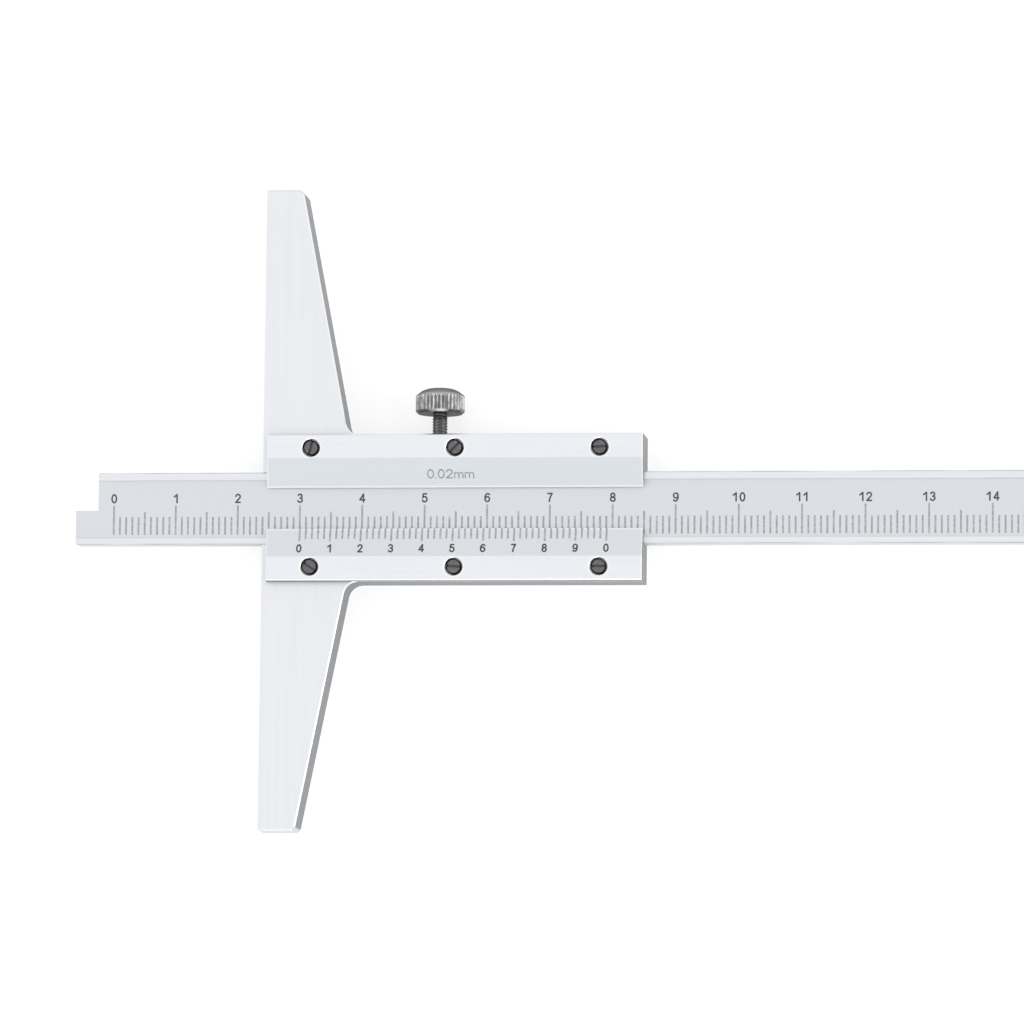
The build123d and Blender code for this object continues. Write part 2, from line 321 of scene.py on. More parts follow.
class Finish:
    """A material or a world, and the one place that adds nodes to its tree."""

    def __init__(self, name, kind="materials", shader="Principled BSDF"):
        self.owner = getattr(bpy.data, kind).new(name)
        self.owner.use_nodes = True
        self.tree = self.owner.node_tree
        self.shader = self.tree.nodes[shader]

    def node(self, kind, settings=None, sockets=None, output=0):
        """Adds a node: its settings first, then the values or links of its sockets. Gives one output."""
        made = self.tree.nodes.new(kind)
        for name, value in (settings or {}).items():
            setattr(made, name, value)
        for key, value in (sockets or {}).items():
            self.feed(made.inputs[key], value)
        return Value(self, made.outputs[output])

    def feed(self, socket, value):
        """Links a Value to a socket, or sets a plain one on it."""
        if isinstance(value, Value):
            self.tree.links.new(value.socket, socket)
        elif hasattr(value, "__len__") and len(value) == 3 and socket.type == "RGBA":
            socket.default_value = (*value, 1.0)
        else:
            socket.default_value = value

    def math(self, operation, *values):
        """A Math node."""
        return self.node("ShaderNodeMath", {"operation": operation}, dict(enumerate(values)))

    def coordinates(self, kind):
        """Texture coordinates of one kind, as three Values."""
        vector = self.node("ShaderNodeTexCoord", output=kind)
        return [self.node("ShaderNodeSeparateXYZ", sockets={0: vector}, output=axis) for axis in range(3)]

    def place(self):
        """Object coordinates in millimetres, as three Values."""
        return [value / MM for value in self.coordinates("Object")]

    def normal(self):
        """The surface normal in object coordinates, as three Values."""
        return self.coordinates("Normal")

    def ray(self, kind):
        """1 for light of one kind, else 0."""
        return self.node("ShaderNodeLightPath", output=f"Is {kind} Ray")

    def vector(self, x, y, z):
        """A vector from three values."""
        return self.node("ShaderNodeCombineXYZ", sockets={0: x, 1: y, 2: z})

    def noise(self, where, detail=2.0, roughness=0.5):
        """Noise from 0 to 1 with features about one unit across."""
        sockets = {"Vector": where, "Scale": 1.0, "Detail": detail, "Roughness": roughness}
        return self.node("ShaderNodeTexNoise", sockets=sockets)

    def step(self, value, start, end):
        """A smooth step from 0 at start to 1 at end."""
        return self.node(
            "ShaderNodeMapRange",
            {"interpolation_type": "SMOOTHSTEP"},
            {"Value": value, "From Min": start, "From Max": end},
        )

    def fall(self, value, start, end):
        """A smooth step from 1 at start to 0 at end."""
        return 1 - self.step(value, start, end)

    def band(self, value, start, full, fade, end):
        """1 from full to fade, and smoothly down to 0 at start and at end."""
        return self.step(value, start, full) * self.fall(value, fade, end)

    def mix(self, share, first, second):
        """A colour between first, at a share of 0, and second, at 1."""
        return self.node("ShaderNodeMix", {"data_type": "RGBA"}, {0: share, 6: first, 7: second}, output=2)

    def bump(self, height, depth):
        """A normal that follows height, from 0 to 1, over a depth in metres."""
        return self.node("ShaderNodeBump", sockets={"Strength": 1.0, "Distance": depth, "Height": height})

    def surface(self, **sockets):
        """Sets or links sockets of the shader, named with underscores for spaces, and gives the owner."""
        for name, value in sockets.items():
            self.feed(self.shader.inputs[name.replace("_", " ")], value)
        return self.owner


def dress(name, material):
    """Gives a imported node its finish."""
    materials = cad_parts[name].data.materials
    materials.clear()
    materials.append(material)


def grain(finish, x, y, z, along):
    """Grinding marks: two noises, both drawn out along one axis, one fine and one broad."""
    place = [
        value * (GRAIN_ALONG if axis == along else GRAIN_ACROSS) for axis, value in zip("XYZ", (x, y, z))
    ]
    fine = finish.noise(finish.vector(*place), 3.0, 0.6)
    broad = finish.noise(finish.vector(*[value / BROAD_GRAIN for value in place]), 2.0)
    return fine, broad


def tone_range(finish, share, tone, low, high):
    """A tone that varies with share, between low and high times itself."""
    return finish.mix(share, [c * low for c in tone], [min(c * high, 1.0) for c in tone])


def side_tone(finish, x, y, z, tone):
    """The uneven tone of a coarsely ground side, whose colour is painted darker as shade."""
    speckle = finish.noise(finish.vector(x * 1.3, y * 1.3, z * 5.0), 4.0, 0.65)
    return tone_range(finish, finish.step(speckle, *NOISE_SPREAD), tone, 0.84, 1.14)


def from_screw(finish, x, y):
    """The distance to the axis of the nearest plate screw: they stand evenly spaced, in two mirrored rows."""
    first = (first_screw_low + first_screw_high) / 2 / MM
    middle = (middle_screw_low + middle_screw_high) / 2 / MM
    along = finish.math("PINGPONG", x - first.x, (middle.x - first.x) / 2)
    return (along**2.0 + (abs(y) + first.y) ** 2.0) ** 0.5


def ground_steel(name, face, side, along="X"):
    """Ground steel: satin upper faces, coarser sides that are painted darker as shade, and broken edges that
    are rubbed bright.

    Gives the finish, with its tone, its roughness and what they are made of, for a piece to add its own to.
    """
    finish = Finish(name)
    x, y, z = finish.place()
    normal_z = abs(finish.normal()[2])
    fine, broad = grain(finish, x, y, z, along)
    sideways = finish.fall(normal_z, *SIDE_LEAN)
    broken = finish.band(normal_z, *BROKEN_EDGE_LEAN)
    tone = tone_range(finish, finish.step(broad * 0.6 + fine * 0.4, *GRAIN_SPREAD), face, 0.975, 1.0)
    # Side faces take the darker side colour: painted shade
    tone = finish.mix(sideways, tone, side_tone(finish, x, y, z, side))
    roughness = 0.4 + (fine - 0.5) * 0.16 + sideways * 0.12 - broken * 0.1
    finish.surface(Metallic=1.0, Normal=finish.bump(fine, GRINDING_DEPTH))
    return finish, (x, y, z), (normal_z, sideways, broken), tone, roughness


def base_steel(name, colours):
    """The measuring base: ground steel, with lapped ends to its arms."""
    finish, (_, y, _), (normal_z, _, broken), tone, roughness = ground_steel(
        name, colours.base, colours.side, "Y"
    )
    tone = finish.mix(broken, tone, colours.edge)
    lapped = finish.step(abs(y), *[arm_tip / MM - distance for distance in LAPPED_END])
    lapped = lapped * finish.fall(normal_z, *BROKEN_EDGE_LEAN[2:])
    return finish.surface(Base_Color=finish.mix(lapped, tone, colours.arm_end), Roughness=roughness)


def plate_steel(name, colours, window, bevel):
    """A retaining plate: ground steel, with a matt bevel that has a painted highlight along its thin edge and
    ends, bright counterbore rims, and painted shade on the counterbore walls.

    The window is the distance from the beam's middle to the plate's thin edge, whose side doesn't get the
    painted side shade.
    """
    finish, (x, y, z), (normal_z, sideways, broken), tone, roughness = ground_steel(
        name, colours.plate, colours.plate_side
    )
    from_head = from_screw(finish, x, y) - (first_screw_high.x - first_screw_low.x) / 2 / MM
    tone = finish.mix(finish.fall(from_head, *BRIGHT_RIM), tone, colours.rim)
    # Painted shade on the counterbore walls round each screw
    tone = finish.mix(sideways * finish.fall(from_head, *BORE_WALL), tone, colours.bore)
    edge = finish.mix(finish.step(from_head, *BRIGHT_RIM_EDGE), colours.rim, colours.plate_edge)
    from_window = abs(y) - window / MM
    from_end = finish.math("MINIMUM", x - plate_low.x / MM, plate_high.x / MM - x)
    matt = finish.noise(finish.vector(x * 5.0, y * 5.0, z), 3.0, 0.7)
    matt_tone = tone_range(finish, finish.step(matt, *NOISE_SPREAD), bevel, 0.97, 1.02)
    # A painted highlight along the bevel's thin edge and at the plate's ends, mixed in at 0.6
    bevel_highlight = 1 - finish.step(from_window, *HIGHLIGHT_LIP) * finish.step(from_end, *HIGHLIGHT_END)
    leaning = finish.band(normal_z, *BEVEL_LEAN)
    bevelled = finish.math("MAXIMUM", leaning, sideways * finish.fall(from_window, *THIN_EDGE))
    tone = finish.mix(bevelled, tone, finish.mix(bevel_highlight * 0.6, matt_tone, colours.rim))
    return finish.surface(Base_Color=finish.mix(broken, tone, edge), Roughness=roughness + leaning * 0.12)


def beam_steel(name, colours):
    """The beam: a matt scale face between two ground rails, with finely ground sides."""
    finish = Finish(name)
    x, y, z = finish.place()
    fine, broad = grain(finish, x, y, z, "X")
    raised = finish.step(z, *[beam_high.z / MM - distance for distance in RAIL_DEPTH])
    sideways = finish.fall(abs(finish.normal()[2]), *SIDE_LEAN)
    matt = finish.noise(finish.vector(x * 6.0, y * 6.0, z), 3.0, 0.7)
    scale_tone = tone_range(finish, finish.step(matt, *NOISE_SPREAD), colours.scale, 0.97, 1.0)
    rail_tone = tone_range(finish, finish.step(broad, *GRAIN_SPREAD), colours.rail, 0.97, 1.0)
    outermost = finish.step(abs(y), *[beam_high.y / MM - distance for distance in RAIL_EDGE])
    # A darker line along the rails' outer edges, in long patches along the beam
    darker_rail_edge = outermost * finish.step(finish.noise(finish.vector(x * 0.07, 0.0, 0.0), 2.0), 0.3, 0.6)
    rail_tone = finish.mix(darker_rail_edge, rail_tone, colours.rail_edge)
    marks = finish.step(fine * 0.5 + broad * 0.5, *NOISE_SPREAD)
    ground = tone_range(finish, marks, colours.beam_side, 0.93, 1.04)
    return finish.surface(
        Base_Color=finish.mix(sideways, finish.mix(raised, scale_tone, rail_tone), ground),
        Metallic=1.0,
        Roughness=0.5 - raised * 0.1 + (fine - 0.5) * 0.12,
        Normal=finish.bump(fine * raised + matt * (1 - raised), GRINDING_DEPTH),
    )


def screw_steel(name, colours):
    """A slotted screw: black, rubbed grey in the middle of its face and faintly on the slot's floor."""
    finish = Finish(name)
    x, y, z = finish.place()
    top = first_screw_high.z / MM
    radius = from_screw(finish, x, y)
    rings = finish.noise(finish.vector(radius * 16.0, 0.0, 0.0), 2.0)
    blotches = finish.noise(finish.vector(x * 1.6, y * 1.6, z), 3.0)
    streaks = finish.noise(finish.vector((x + y) * 5.0, (x - y) * 0.7, z), 2.0)
    upward = finish.step(finish.normal()[2], 0.8, 0.95)
    on_face = finish.step(z, *[top - depth for depth in FACE_DEPTH])
    rubbed = upward * on_face * finish.fall(radius, *RUBBED_FACE)
    in_slot = finish.fall(z, *[top - depth for depth in SLOT_DEPTH]) * finish.fall(radius, *SLOT_END)
    share = finish.step(rings * 0.3 + blotches * 0.3 + streaks * 0.4, *GRAIN_SPREAD)
    tone = finish.mix(rubbed, colours.screw_black, tone_range(finish, share, colours.screw, 0.75, 1.2))
    return finish.surface(
        Base_Color=finish.mix(in_slot, tone, colours.screw_slot),
        Metallic=0.9,
        Roughness=0.42 + (rings - 0.5) * 0.2,
        Normal=finish.bump(rings, TURNING_DEPTH),
    )


def knob_steel(name, colours, sizes):
    """The lock screw: bright knurl crests, dark roots, a turned crown with a painted highlight at its rim,
    painted shade on its underside, and its painted shadow on the stem.
    """
    finish = Finish(name)
    x, y, z = finish.place()
    axis = (screw_low + screw_high) / 2 / MM
    radius = ((x - axis.x) ** 2.0 + (z - axis.z) ** 2.0) ** 0.5
    from_outside = (screw_high.x - screw_low.x) / 2 / MM - radius
    from_knob = knob_underside(sizes) / MM - y
    normal_y = finish.normal()[1]
    on_knurl = finish.fall(from_outside, *KNURL_SIDE) * finish.fall(abs(normal_y), 0.3, 0.5)
    height = finish.fall(from_outside, *KNURL_HEIGHT)
    on_stem = finish.fall(radius, *STEM_SIDE)
    turning = finish.noise(finish.vector(radius * 9.0, y * 9.0, 0.0), 3.0, 0.6)
    wear = finish.noise(finish.vector(x * 1.1, y * 0.5, z * 1.1), 3.0, 0.6)
    share = finish.step(turning, *NOISE_SPREAD)
    plain = tone_range(finish, share, colours.knob, 0.82, 1.15)
    # A painted highlight near the knob's outer radius, on the crown's rim
    plain = finish.mix(finish.fall(from_outside, *CROWN_HIGHLIGHT) * 0.8, plain, colours.knob_crest)
    # Painted shade on the faces that look down towards the slider body, under the knob
    shaded_underside = finish.fall(normal_y, -0.95, -0.8)
    plain = finish.mix(shaded_underside, plain, tone_range(finish, share, colours.knob_foot, 0.7, 1.3))
    # The knob's painted shadow on the stem, fading out below the underside
    knob_shadow = finish.fall(from_knob, *STEM_SHADOW)
    stem = finish.mix(knob_shadow, tone_range(finish, share, colours.stem, 0.8, 1.2), colours.knob_foot)
    plain = finish.mix(on_stem, plain, stem)
    crest = tone_range(finish, finish.step(wear, *GRAIN_SPREAD), colours.knob_crest, 0.7, 1.6)
    ridge = finish.mix(height, colours.knob_root, crest)
    return finish.surface(
        Base_Color=finish.mix(on_knurl, plain, ridge),
        Metallic=1.0,
        Roughness=0.26 + (turning - 0.5) * 0.12 - on_knurl * height * 0.07 + on_stem * 0.24,
        Specular_Tint=(0.35, 0.35, 0.35),
        Normal=finish.bump(turning, TURNING_DEPTH),
    )


def plain_metal(name, tone):
    """A piece that sits inside: even metal with drawn-out marks."""
    finish = Finish(name)
    x, y, z = finish.place()
    marks = finish.noise(finish.vector(x * 0.5, y * 6.0, z * 6.0), 3.0)
    return finish.surface(
        Base_Color=finish.mix(finish.step(marks, *NOISE_SPREAD), [c * 0.85 for c in tone], tone),
        Metallic=1.0,
        Roughness=0.35 + (marks - 0.5) * 0.15,
        Normal=finish.bump(marks, TURNING_DEPTH),
    )


def paint(name, tone):
    """Paint in an engraved line, a little uneven."""
    finish = Finish(name)
    x, y, z = finish.place()
    wear = finish.noise(finish.vector(x * 2.2, y * 2.2, z), 3.0)
    return finish.surface(
        Base_Color=finish.mix(finish.step(wear, 0.35, 0.8), tone, [c * 1.6 for c in tone]),
        Roughness=0.55 + (wear - 0.5) * 0.2,
    )


def add_mesh(name, points, faces, material, smooth=False):
    """Puts points and faces into the mesh of a new object at the origin."""
    mesh = bpy.data.meshes.new(name)
    faces = faces.tolist() if hasattr(faces, "tolist") else faces
    mesh.from_pydata(points.reshape(-1, 3).tolist(), [], faces)
    mesh.validate()
    mesh.materials.append(material)
    made = bpy.data.objects.new(name, mesh)
    bpy.context.scene.collection.objects.link(made)
    if smooth:
        mesh.shade_smooth()
        mesh.set_sharp_from_angle(angle=SHARP_ANGLE)
    return made


def surface_plane(node, x, y_near, y_far):
    """The height and slope of a node's upper face: z = height + slope * y, through two points hit by rays."""
    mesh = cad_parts[node].data
    tree = BVHTree.FromPolygons([v.co for v in mesh.vertices], [p.vertices for p in mesh.polygons])
    heights = []
    for y in (y_near, y_far):
        hit = tree.ray_cast(Vector((x, y, 1.0)), Vector((0, 0, -1)))[0]
        if hit is None:
            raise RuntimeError(f"no upper face of {node} at {x}, {y}")
        heights.append(hit.z)
    slope = (heights[1] - heights[0]) / (y_far - y_near)
    return heights[0] - slope * y_near, slope


def line_boxes(xs, foots, tops, plane, sizes):
    """Closed boxes along Y, one for each line.

    A corner is (x + or - half the width, foot or top, the plane's height there + rise or - sink).
    """
    height, slope = plane
    side = np.array([-1, 1, 1, -1, -1, 1, 1, -1]) / 2
    upper = np.array([0, 0, 1, 1, 0, 0, 1, 1], bool)
    lift = np.where(np.arange(8) < 4, -sizes.line_sink, sizes.line_rise)
    y = np.where(upper[None, :], tops[:, None], foots[:, None])
    x = xs[:, None] + side[None, :] * sizes.line_width
    points = np.stack([x, y, height + slope * y + lift[None, :]], axis=-1)
    faces = np.array([[3, 2, 1, 0], [4, 5, 6, 7], [0, 1, 5, 4], [1, 2, 6, 5], [2, 3, 7, 6], [3, 0, 4, 7]])
    return points, (np.arange(len(xs))[:, None, None] * 8 + faces[None]).reshape(-1, 4)


def line(*corners):
    """A straight run through corners, which are pairs of numbers in units of a numeral's height."""
    return np.array(corners, float)


def arc(x, y, half_width, half_height, start, end):
    """Part of an ellipse round (x, y), between two angles in degrees."""
    turn = np.radians(np.linspace(start, end, ARC_POINTS))
    return np.stack([x + half_width * np.cos(turn), y + half_height * np.sin(turn)], axis=-1)


def characters():
    """The width and the strokes of each character, as the middle of the cutter runs, one unit high."""
    six = [arc(0.28, 0.31, 0.28, 0.31, 180, 555), arc(0.33, 0.5, 0.33, 0.5, 192, 48)]
    arch = [arc(0.2, 0.44, 0.2, 0.2, 180, 0), arc(0.6, 0.44, 0.2, 0.2, 180, 0)]
    swan = np.concatenate([arc(0.28, 0.72, 0.27, 0.28, 172, -45), line((0, 0))])
    bowl = arc(0.27, 0.325, 0.29, 0.325, 141, -160)
    return {
        "0": (0.56, [arc(0.28, 0.5, 0.28, 0.5, 90, 465)]),
        "1": (0.5, [line((0.38, 0), (0.38, 1)), line((0.38, 1), (0.04, 0.72))]),
        "2": (0.56, [swan, line((0, 0), (0.56, 0))]),
        "3": (0.54, [arc(0.26, 0.755, 0.24, 0.245, 158, -90), arc(0.26, 0.255, 0.28, 0.255, 90, -162)]),
        "4": (0.6, [line((0.44, 0), (0.44, 1)), line((0.44, 1), (0, 0.27)), line((0, 0.27), (0.6, 0.27))]),
        "5": (0.56, [line((0.5, 1), (0.09, 1)), line((0.09, 1), (0.04, 0.52)), bowl]),
        "6": (0.56, six),
        "7": (0.54, [line((0, 1), (0.54, 1)), line((0.54, 1), (0.34, 0.62), (0.24, 0.32), (0.19, 0))]),
        "8": (0.56, [arc(0.28, 0.76, 0.235, 0.24, 90, 465), arc(0.28, 0.26, 0.28, 0.26, 90, 465)]),
        "9": (0.56, [np.array([0.56, 1.0]) - stroke for stroke in six]),
        "m": (0.8, [line((0, 0), (0, 0.64))] + [np.concatenate([a, line((a[-1][0], 0))]) for a in arch]),
        ".": (0.02, [line((0, 0), (0.02, 0))]),
    }


def cut_stroke(path, radius, rise, sink):
    """A closed slab with round ends: every point within radius of a path, from sink below to rise above.

    Beyond the path's ends, its half width is the root of radius squared less the distance squared.
    """
    steps = np.diff(path, axis=0)
    reach = np.concatenate([[0], np.cumsum(np.hypot(steps[:, 0], steps[:, 1]))])
    beyond = radius * np.sin(np.linspace(math.pi / 2, 0, CAP_POINTS + 1))[:-1]
    along = np.concatenate([-beyond, np.linspace(0, reach[-1], STROKE_POINTS), reach[-1] + beyond[::-1]])
    inside = np.clip(along, 0, reach[-1])
    middle = np.stack([np.interp(inside, reach, path[:, axis]) for axis in (0, 1)], axis=-1)
    heading = np.gradient(middle[CAP_POINTS:-CAP_POINTS], axis=0)
    heading = heading / np.hypot(heading[:, 0], heading[:, 1])[:, None]
    heading = np.pad(heading, ((CAP_POINTS, CAP_POINTS), (0, 0)), "edge")
    middle = middle + heading * (along - inside)[:, None]
    half = np.sqrt(np.maximum(radius**2 - (along - inside) ** 2, (CAP_TIP * radius) ** 2))
    across = np.stack([-heading[:, 1], heading[:, 0]], axis=-1) * half[:, None]
    rails = np.stack([middle + across, middle - across, middle - across, middle + across], axis=1)
    lift = np.broadcast_to(np.array([rise, rise, -sink, -sink])[None, :, None], (len(along), 4, 1))
    points = np.concatenate([rails, lift], axis=-1)
    start = np.arange(len(along) - 1)[:, None] * 4
    ring, after = np.arange(4), np.array([1, 2, 3, 0])
    sides = np.stack([start + ring, start + after, start + 4 + after, start + 4 + ring], axis=-1)
    last = (len(along) - 1) * 4
    ends = np.array([[3, 2, 1, 0], [last, last + 1, last + 2, last + 3]])
    return points.reshape(-1, 3), np.concatenate([sides.reshape(-1, 4), ends])


def write_words(name, words, xs, foot, height, radius, gap, plane, sizes, material, stretch=1.0):
    """One mesh of engraved words standing at y = foot, their middles at xs, on z = level + slope * y + lift.

    The characters are as wide as characters() says, times stretch.
    """
    level, slope = plane
    tall = height - 2 * radius
    wide = tall * stretch
    shapes = characters()
    points, faces, count = [], [], 0
    for word, x in zip(words, xs):
        widths = [shapes[letter][0] * wide + 2 * radius for letter in word]
        corner = x - (sum(widths) + gap * (len(word) - 1)) / 2 + radius
        for letter, width in zip(word, widths):
            for layer, path in enumerate(shapes[letter][1]):
                rise = sizes.line_rise + layer * LAYER_RISE
                own, own_faces = cut_stroke(path * (wide, tall), radius, rise, sizes.line_sink)
                own = own + np.array([corner, foot + radius, level])
                own[:, 2] += slope * own[:, 1]
                points.append(own)
                faces.append(own_faces + count)
                count += len(own)
            corner += width + gap
    return add_mesh(name, np.concatenate(points), np.concatenate(faces), material)


def knob_underside(sizes):
    """Where the knob's underside is along Y: the gap beyond the slider body's edge."""
    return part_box("upper_plate")[1].y + sizes.gap


def revolve_faces(count, columns):
    """Faces between the rings of a surface of revolution, with a fan to a pole at each end.

    The poles are the last two points, after count rings of columns points.
    """
    ring = np.arange(columns)
    after = (ring + 1) % columns
    start = np.arange(count - 1)[:, None] * columns
    quads = np.stack([start + columns + ring, start + columns + after, start + after, start + ring], axis=-1)
    top_pole, end_pole, last = count * columns, count * columns + 1, (count - 1) * columns
    top = np.stack([np.full(columns, top_pole), after, ring], axis=-1)
    end = np.stack([np.full(columns, end_pole), last + ring, last + after], axis=-1)
    return quads.reshape(-1, 4).tolist() + top.tolist() + end.tolist()


def lock_screw_profile(sizes, knob_radius):
    """The lock screw's outline without its knurl and thread: places along the axis, and the radius at each.

    Only the crown is curved: it lies below the top by its height * (radius / knob's radius) ** power.
    """
    underside = knob_underside(sizes)
    neck_foot = underside - sizes.neck_length
    thread_end = screw_low.y + sizes.spigot_length
    crown = np.linspace(0, 1, CROWN_ROWS + 1)[1:]
    bevel = np.linspace(0, 1, BEVEL_ROWS + 1)[1:]
    bevel_radius = knob_radius - sizes.foot_bevel * bevel
    band = np.linspace(screw_high.y - sizes.crown_height, underside + sizes.foot_bevel, BAND_ROWS + 1)[1:]
    under_radius = np.linspace(bevel_radius[-1], sizes.neck_radius, BEVEL_ROWS + 1)[1:]
    neck = np.linspace(underside, neck_foot, NECK_ROWS + 1)[1:]
    thread = np.arange(neck_foot, thread_end, -sizes.pitch / ROWS_PER_PITCH)[1:]
    runs = (
        (screw_high.y - sizes.crown_height * crown**sizes.crown_power, knob_radius * crown),
        (band, np.full(len(band), knob_radius)),
        (underside + sizes.foot_bevel * (1 - bevel), bevel_radius),
        (np.full(len(under_radius), underside), under_radius),
        (neck, np.full(len(neck), sizes.neck_radius)),
        (thread, np.full(len(thread), sizes.root_radius)),
        (np.array([thread_end]), np.array([sizes.root_radius])),
        (np.array([thread_end, screw_low.y]), np.full(2, sizes.spigot_radius)),
    )
    return np.concatenate([run[0] for run in runs]), np.concatenate([run[1] for run in runs])


def run_out(places, top, foot, room):
    """1 between top and foot, and down in a straight line to 0 over the room at each of them."""
    return np.clip((top - places) / room, 0, 1) * np.clip((places - foot) / room, 0, 1)


def lock_screw_mesh(sizes):
    """The lock screw as one closed surface of angle and place along its axis.

    The radius is the profile's, less the knurl's depth times a clipped triangle wave of the angle on the
    knurled band, and on the thread it is a triangle wave of place / pitch + angle / full turn between root
    and crest.
    """
    axis = (screw_low + screw_high) / 2
    knob_radius = min(screw_high.x - screw_low.x, screw_high.z - screw_low.z) / 2
    places, radii = lock_screw_profile(sizes, knob_radius)
    columns = sizes.knurl_count * COLUMNS_PER_RIDGE
    angle = np.linspace(0, 2 * math.pi, columns, endpoint=False)

    wave = np.abs((angle * sizes.knurl_count / (2 * math.pi)) % 1 - 0.5) * 2
    groove = np.clip((wave - sizes.crest_share) / (1 - sizes.crest_share - sizes.root_share), 0, 1)
    underside = knob_underside(sizes)
    knurl_top, knurl_foot = screw_high.y - sizes.crown_height, underside + sizes.foot_bevel
    knurl = sizes.knurl_depth * run_out(places, knurl_top, knurl_foot, KNURL_RUN_OUT)

    neck_foot, thread_end = underside - sizes.neck_length, screw_low.y + sizes.spigot_length
    crest = 1 - np.abs((places[:, None] / sizes.pitch + angle[None, :] / (2 * math.pi)) % 1 - 0.5) * 2
    thread = (sizes.thread_radius - sizes.root_radius) * run_out(places, neck_foot, thread_end, sizes.pitch)

    radius = radii[:, None] - knurl[:, None] * groove[None, :] + thread[:, None] * crest
    along = np.broadcast_to(places[:, None], radius.shape)
    rings = np.stack([axis.x + radius * np.cos(angle), along, axis.z - radius * np.sin(angle)], axis=-1)
    poles = [[axis.x, screw_high.y, axis.z], [axis.x, screw_low.y, axis.z]]
    return np.concatenate([rings.reshape(-1, 3), poles]), revolve_faces(len(places), columns)


class GAUGE_OT_base(Operator):
    """Give the measuring base its ground steel"""

    bl_idname = "depth_gauge.base"
    bl_label = "Measuring base"

    def execute(self, context):
        dress("base_frame", base_steel("base_steel", context.scene.gauge_colours))
        return {"FINISHED"}


class GAUGE_OT_plates(Operator):
    """Give the two retaining plates their ground steel"""

    bl_idname = "depth_gauge.plates"
    bl_label = "Retaining plates"

    def execute(self, context):
        colours = context.scene.gauge_colours
        upper_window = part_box("upper_plate")[0].y
        # The upper bevel takes a darker copy of the vernier bevel's finish: painted shade
        dress("upper_plate", plate_steel("upper_plate_steel", colours, upper_window, colours.bevel))
        steel = plate_steel("vernier_plate_steel", colours, -plate_high.y, colours.vernier_bevel)
        dress("vernier_plate", steel)
        return {"FINISHED"}


class GAUGE_OT_screws(Operator):
    """Give the six plate screws their blackened steel"""

    bl_idname = "depth_gauge.screws"
    bl_label = "Plate screws"

    def execute(self, context):
        steel = screw_steel("black_screw", context.scene.gauge_colours)
        for plate in ("upper_plate", "vernier_plate"):
            for place in ("left", "middle", "right"):
                dress(f"{plate}_screw_{place}", steel)
        return {"FINISHED"}


class GAUGE_OT_beam(Operator):
    """Give the beam its matt scale face and ground rails"""

    bl_idname = "depth_gauge.beam"
    bl_label = "Beam"

    def execute(self, context):
        dress("beam", beam_steel("beam_steel", context.scene.gauge_colours))
        return {"FINISHED"}


class GAUGE_OT_inside(Operator):
    """Give the leaf spring and the swivel pad their metals"""

    bl_idname = "depth_gauge.inside"
    bl_label = "Spring and pad"

    def execute(self, context):
        colours = context.scene.gauge_colours
        dress("leaf_spring", plain_metal("spring_steel", colours.spring))
        dress("lock_pad", plain_metal("pad_brass", colours.pad))
        return {"FINISHED"}


class GAUGE_OT_lock_screw(Operator):
    """Turn the lock screw, with its knurl and its thread"""

    bl_idname = "depth_gauge.lock_screw"
    bl_label = "Lock screw"

    def execute(self, context):
        sizes = context.scene.gauge_lock_screw
        points, faces = lock_screw_mesh(sizes)
        steel = knob_steel("knob_steel", context.scene.gauge_colours, sizes)
        screw = add_mesh("lock_screw_turned", points, faces, steel, smooth=True)
        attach(screw, "lock_screw")
        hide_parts("lock_screw")
        return {"FINISHED"}


class GAUGE_OT_main_scale(Operator):
    """Engrave the main scale's lines and numerals in the beam"""

    bl_idname = "depth_gauge.main_scale"
    bl_label = "Main scale"

    def execute(self, context):
        sizes = context.scene.gauge_graduations
        colours = context.scene.gauge_colours
        zero = beam_low.x + sizes.zero_inset
        marks = np.arange(sizes.main_count + 1)
        xs = zero + marks * MM
        tops = np.where(marks % 5 == 0, sizes.half_top, sizes.millimetre_top)
        tops = np.where(marks % 10 == 0, sizes.centimetre_top, tops)
        plane = surface_plane("beam", zero + sizes.main_count * MM / 2, -PROBE_BEAM, PROBE_BEAM)
        foots = np.full(len(xs), sizes.main_foot)
        points, faces = line_boxes(xs, foots, tops, plane, sizes)
        lines = add_mesh("main_scale_lines", points, faces, paint("line_paint", colours.line))
        numbers = np.arange(sizes.main_count // 10 + 1)
        numerals = write_words(
            "main_scale_numerals",
            [str(n) for n in numbers],
            zero + numbers * 10 * MM,
            sizes.numeral_foot,
            sizes.numeral_height,
            sizes.cutter_radius,
            sizes.numeral_gap,
            plane,
            sizes,
            paint("numeral_paint", colours.numeral),
        )
        for piece in (lines, numerals):
            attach(piece, "beam")
        return {"FINISHED"}


class GAUGE_OT_vernier_scale(Operator):
    """Engrave the vernier's lines and numerals in the lower plate's bevel"""

    bl_idname = "depth_gauge.vernier_scale"
    bl_label = "Vernier scale"

    def execute(self, context):
        sizes = context.scene.gauge_graduations
        marks = np.arange(sizes.vernier_count + 1)
        xs = sizes.vernier_zero + marks * sizes.vernier_pitch
        foots = np.where(marks % 5 == 0, sizes.vernier_long, sizes.vernier_short)
        edge = plate_high.y
        plane = surface_plane("vernier_plate", PROBE_X, edge - PROBE_NEAR, edge - PROBE_FAR)
        tops = np.full(len(xs), edge - EDGE_ROOM)
        points, faces = line_boxes(xs, foots, tops, plane, sizes)
        lines = add_mesh("vernier_lines", points, faces, bpy.data.materials["line_paint"])
        numbers = np.arange(sizes.vernier_count // 5 + 1)
        numerals = write_words(
            "vernier_numerals",
            [str(n % 10) for n in numbers],
            sizes.vernier_zero + numbers * 5 * sizes.vernier_pitch,
            sizes.vernier_numeral_top - sizes.vernier_numeral_height,
            sizes.vernier_numeral_height,
            sizes.cutter_radius,
            sizes.numeral_gap,
            plane,
            sizes,
            bpy.data.materials["numeral_paint"],
        )
        for piece in (lines, numerals):
            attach(piece, "head")
        return {"FINISHED"}


